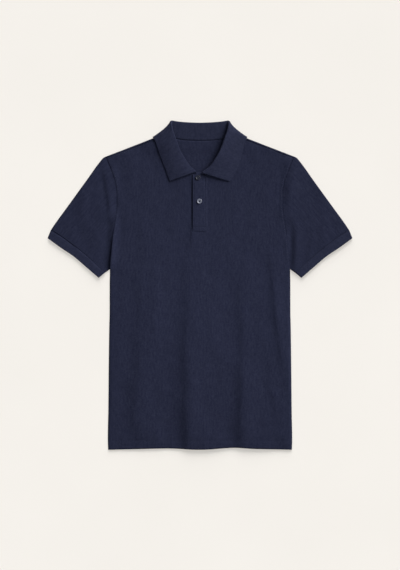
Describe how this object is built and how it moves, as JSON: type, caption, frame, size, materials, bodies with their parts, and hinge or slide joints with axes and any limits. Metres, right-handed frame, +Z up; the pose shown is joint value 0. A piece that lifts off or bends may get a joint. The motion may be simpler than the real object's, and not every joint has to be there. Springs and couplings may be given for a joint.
{
  "type": "polo shirt",
  "caption": "Short-sleeved navy polo shirt laid flat, with a ribbed turn-down collar, a buttoned placket, set-in sleeves and ribbed cuffs.",
  "frame": {"origin": "middle of the laid shirt's outline, on the surface it lies on", "axes": "+Y from the hem to the collar, +X to the side of the wearer's left arm, +Z up from the surface"},
  "size_m": [0.7066, 0.764, 0.0166],
  "materials": {
    "pique": "navy cotton pique knit, matt with a slight sheen",
    "rib": "navy flat-knit rib, matt",
    "button": "grey-blue resin, polished",
    "button_navy": "navy resin, polished"
  },
  "bodies": {
    "root": {"back": "pique", "front": "pique", "under_placket": "pique", "placket": "pique", "sleeve_left": "pique", "sleeve_right": "pique", "cuff_left": "rib", "cuff_right": "rib", "collar": "rib", "button_top": "button_navy", "button_middle": "button"}
  },
  "joints": []
}
